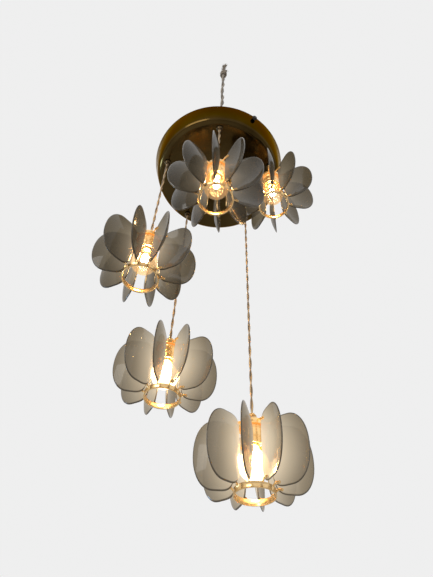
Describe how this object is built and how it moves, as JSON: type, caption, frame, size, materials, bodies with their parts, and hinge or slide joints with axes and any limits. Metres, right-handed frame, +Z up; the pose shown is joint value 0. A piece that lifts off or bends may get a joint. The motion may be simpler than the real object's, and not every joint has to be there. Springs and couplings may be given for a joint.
{
  "type": "chandelier",
  "caption": "Chandelier of petal-shaded pendant lamps hung at stepped heights from a round metal canopy that hangs on a rope.",
  "frame": {"origin": "middle of the knot at the rope's upper end, on the canopy's axis", "axes": "+Z up along the rope; the flower that hangs in front is on -Y, and +X is to the viewer's right"},
  "size_m": [0.4023, 0.3915, 1.5821],
  "materials": {
    "dark_chrome": "dark bronze mirror, lightly dulled",
    "gilt_metal": "polished gilt",
    "steel": "zinc plated",
    "black_plastic": "matt",
    "smoke_acrylic": "smoked, glossy, seen through",
    "porcelain": "glazed",
    "opal_glass": "opal, lit",
    "rope_fibre": "laid fibre",
    "flex_cover": "twisted two-core flex"
  },
  "bodies": {
    "root": {"canopy_pan": "dark_chrome", "mounting_bar": "steel", "side_screw_front": "black_plastic", "side_screw_back": "black_plastic", "eye_bolt": "steel", "junction_box": "black_plastic", "rope": "rope_fibre", "rope_hitch": "rope_fibre", "rope_top_knot": "rope_fibre", "cord_grip_upper_right": "dark_chrome", "inner_lead_upper_right": "flex_cover", "cord_grip_upper_front": "dark_chrome", "inner_lead_upper_front": "flex_cover", "cord_grip_middle_left": "dark_chrome", "inner_lead_middle_left": "flex_cover", "cord_grip_lower_left": "dark_chrome", "inner_lead_lower_left": "flex_cover", "cord_grip_lower_right": "dark_chrome", "inner_lead_lower_right": "flex_cover"},
    "pendant_upper_right": {"flex_upper_right": "flex_cover"},
    "flower_upper_right": {"petal_crown_upper_right": "smoke_acrylic", "petal_gallery_upper_right": "gilt_metal", "bell_cap_upper_right": "gilt_metal", "holder_sleeve_upper_right": "gilt_metal", "lamp_socket_upper_right": "porcelain", "bulb_base_upper_right": "steel", "bulb_glass_upper_right": "opal_glass"},
    "pendant_upper_front": {"flex_upper_front": "flex_cover"},
    "flower_upper_front": {"petal_crown_upper_front": "smoke_acrylic", "petal_gallery_upper_front": "gilt_metal", "bell_cap_upper_front": "gilt_metal", "holder_sleeve_upper_front": "gilt_metal", "lamp_socket_upper_front": "porcelain", "bulb_base_upper_front": "steel", "bulb_glass_upper_front": "opal_glass"},
    "pendant_middle_left": {"flex_middle_left": "flex_cover"},
    "flower_middle_left": {"petal_crown_middle_left": "smoke_acrylic", "petal_gallery_middle_left": "gilt_metal", "bell_cap_middle_left": "gilt_metal", "holder_sleeve_middle_left": "gilt_metal", "lamp_socket_middle_left": "porcelain", "bulb_base_middle_left": "steel", "bulb_glass_middle_left": "opal_glass"},
    "pendant_lower_left": {"flex_lower_left": "flex_cover"},
    "flower_lower_left": {"petal_crown_lower_left": "smoke_acrylic", "petal_gallery_lower_left": "gilt_metal", "bell_cap_lower_left": "gilt_metal", "holder_sleeve_lower_left": "gilt_metal", "lamp_socket_lower_left": "porcelain", "bulb_base_lower_left": "steel", "bulb_glass_lower_left": "opal_glass"},
    "pendant_lower_right": {"flex_lower_right": "flex_cover"},
    "flower_lower_right": {"petal_crown_lower_right": "smoke_acrylic", "petal_gallery_lower_right": "gilt_metal", "bell_cap_lower_right": "gilt_metal", "holder_sleeve_lower_right": "gilt_metal", "lamp_socket_lower_right": "porcelain", "bulb_base_lower_right": "steel", "bulb_glass_lower_right": "opal_glass"}
  },
  "joints": [
    {"name": "swing_upper_right", "type": "hinge", "parent": "root", "child": "pendant_upper_right", "pos_m": [0.11504, -0.03738, -0.7877], "axis": [-0.309, -0.9511, 0], "range_deg": [-3, 10]},
    {"name": "turn_upper_right", "type": "hinge", "parent": "pendant_upper_right", "child": "flower_upper_right", "pos_m": [0.11504, -0.03738, -0.8881], "axis": [0, 0, 1], "range_deg": [-180, 180]},
    {"name": "swing_upper_front", "type": "hinge", "parent": "root", "child": "pendant_upper_front", "pos_m": [0, -0.12096, -0.7877], "axis": [-1, 0, 0], "range_deg": [-3, 10]},
    {"name": "turn_upper_front", "type": "hinge", "parent": "pendant_upper_front", "child": "flower_upper_front", "pos_m": [0, -0.12096, -1.0161], "axis": [0, 0, 1], "range_deg": [-180, 180]},
    {"name": "swing_middle_left", "type": "hinge", "parent": "root", "child": "pendant_middle_left", "pos_m": [-0.11504, -0.03738, -0.7877], "axis": [-0.309, 0.9511, 0], "range_deg": [-3, 10]},
    {"name": "turn_middle_left", "type": "hinge", "parent": "pendant_middle_left", "child": "flower_middle_left", "pos_m": [-0.11504, -0.03738, -1.1281], "axis": [0, 0, 1], "range_deg": [-180, 180]},
    {"name": "swing_lower_left", "type": "hinge", "parent": "root", "child": "pendant_lower_left", "pos_m": [-0.0711, 0.09786, -0.7877], "axis": [0.809, 0.5878, 0], "range_deg": [-3, 10]},
    {"name": "turn_lower_left", "type": "hinge", "parent": "pendant_lower_left", "child": "flower_lower_left", "pos_m": [-0.0711, 0.09786, -1.2581], "axis": [0, 0, 1], "range_deg": [-180, 180]},
    {"name": "swing_lower_right", "type": "hinge", "parent": "root", "child": "pendant_lower_right", "pos_m": [0.0711, 0.09786, -0.7877], "axis": [0.809, -0.5878, 0], "range_deg": [-3, 10]},
    {"name": "turn_lower_right", "type": "hinge", "parent": "pendant_lower_right", "child": "flower_lower_right", "pos_m": [0.0711, 0.09786, -1.4061], "axis": [0, 0, 1], "range_deg": [-180, 180]}
  ]
}
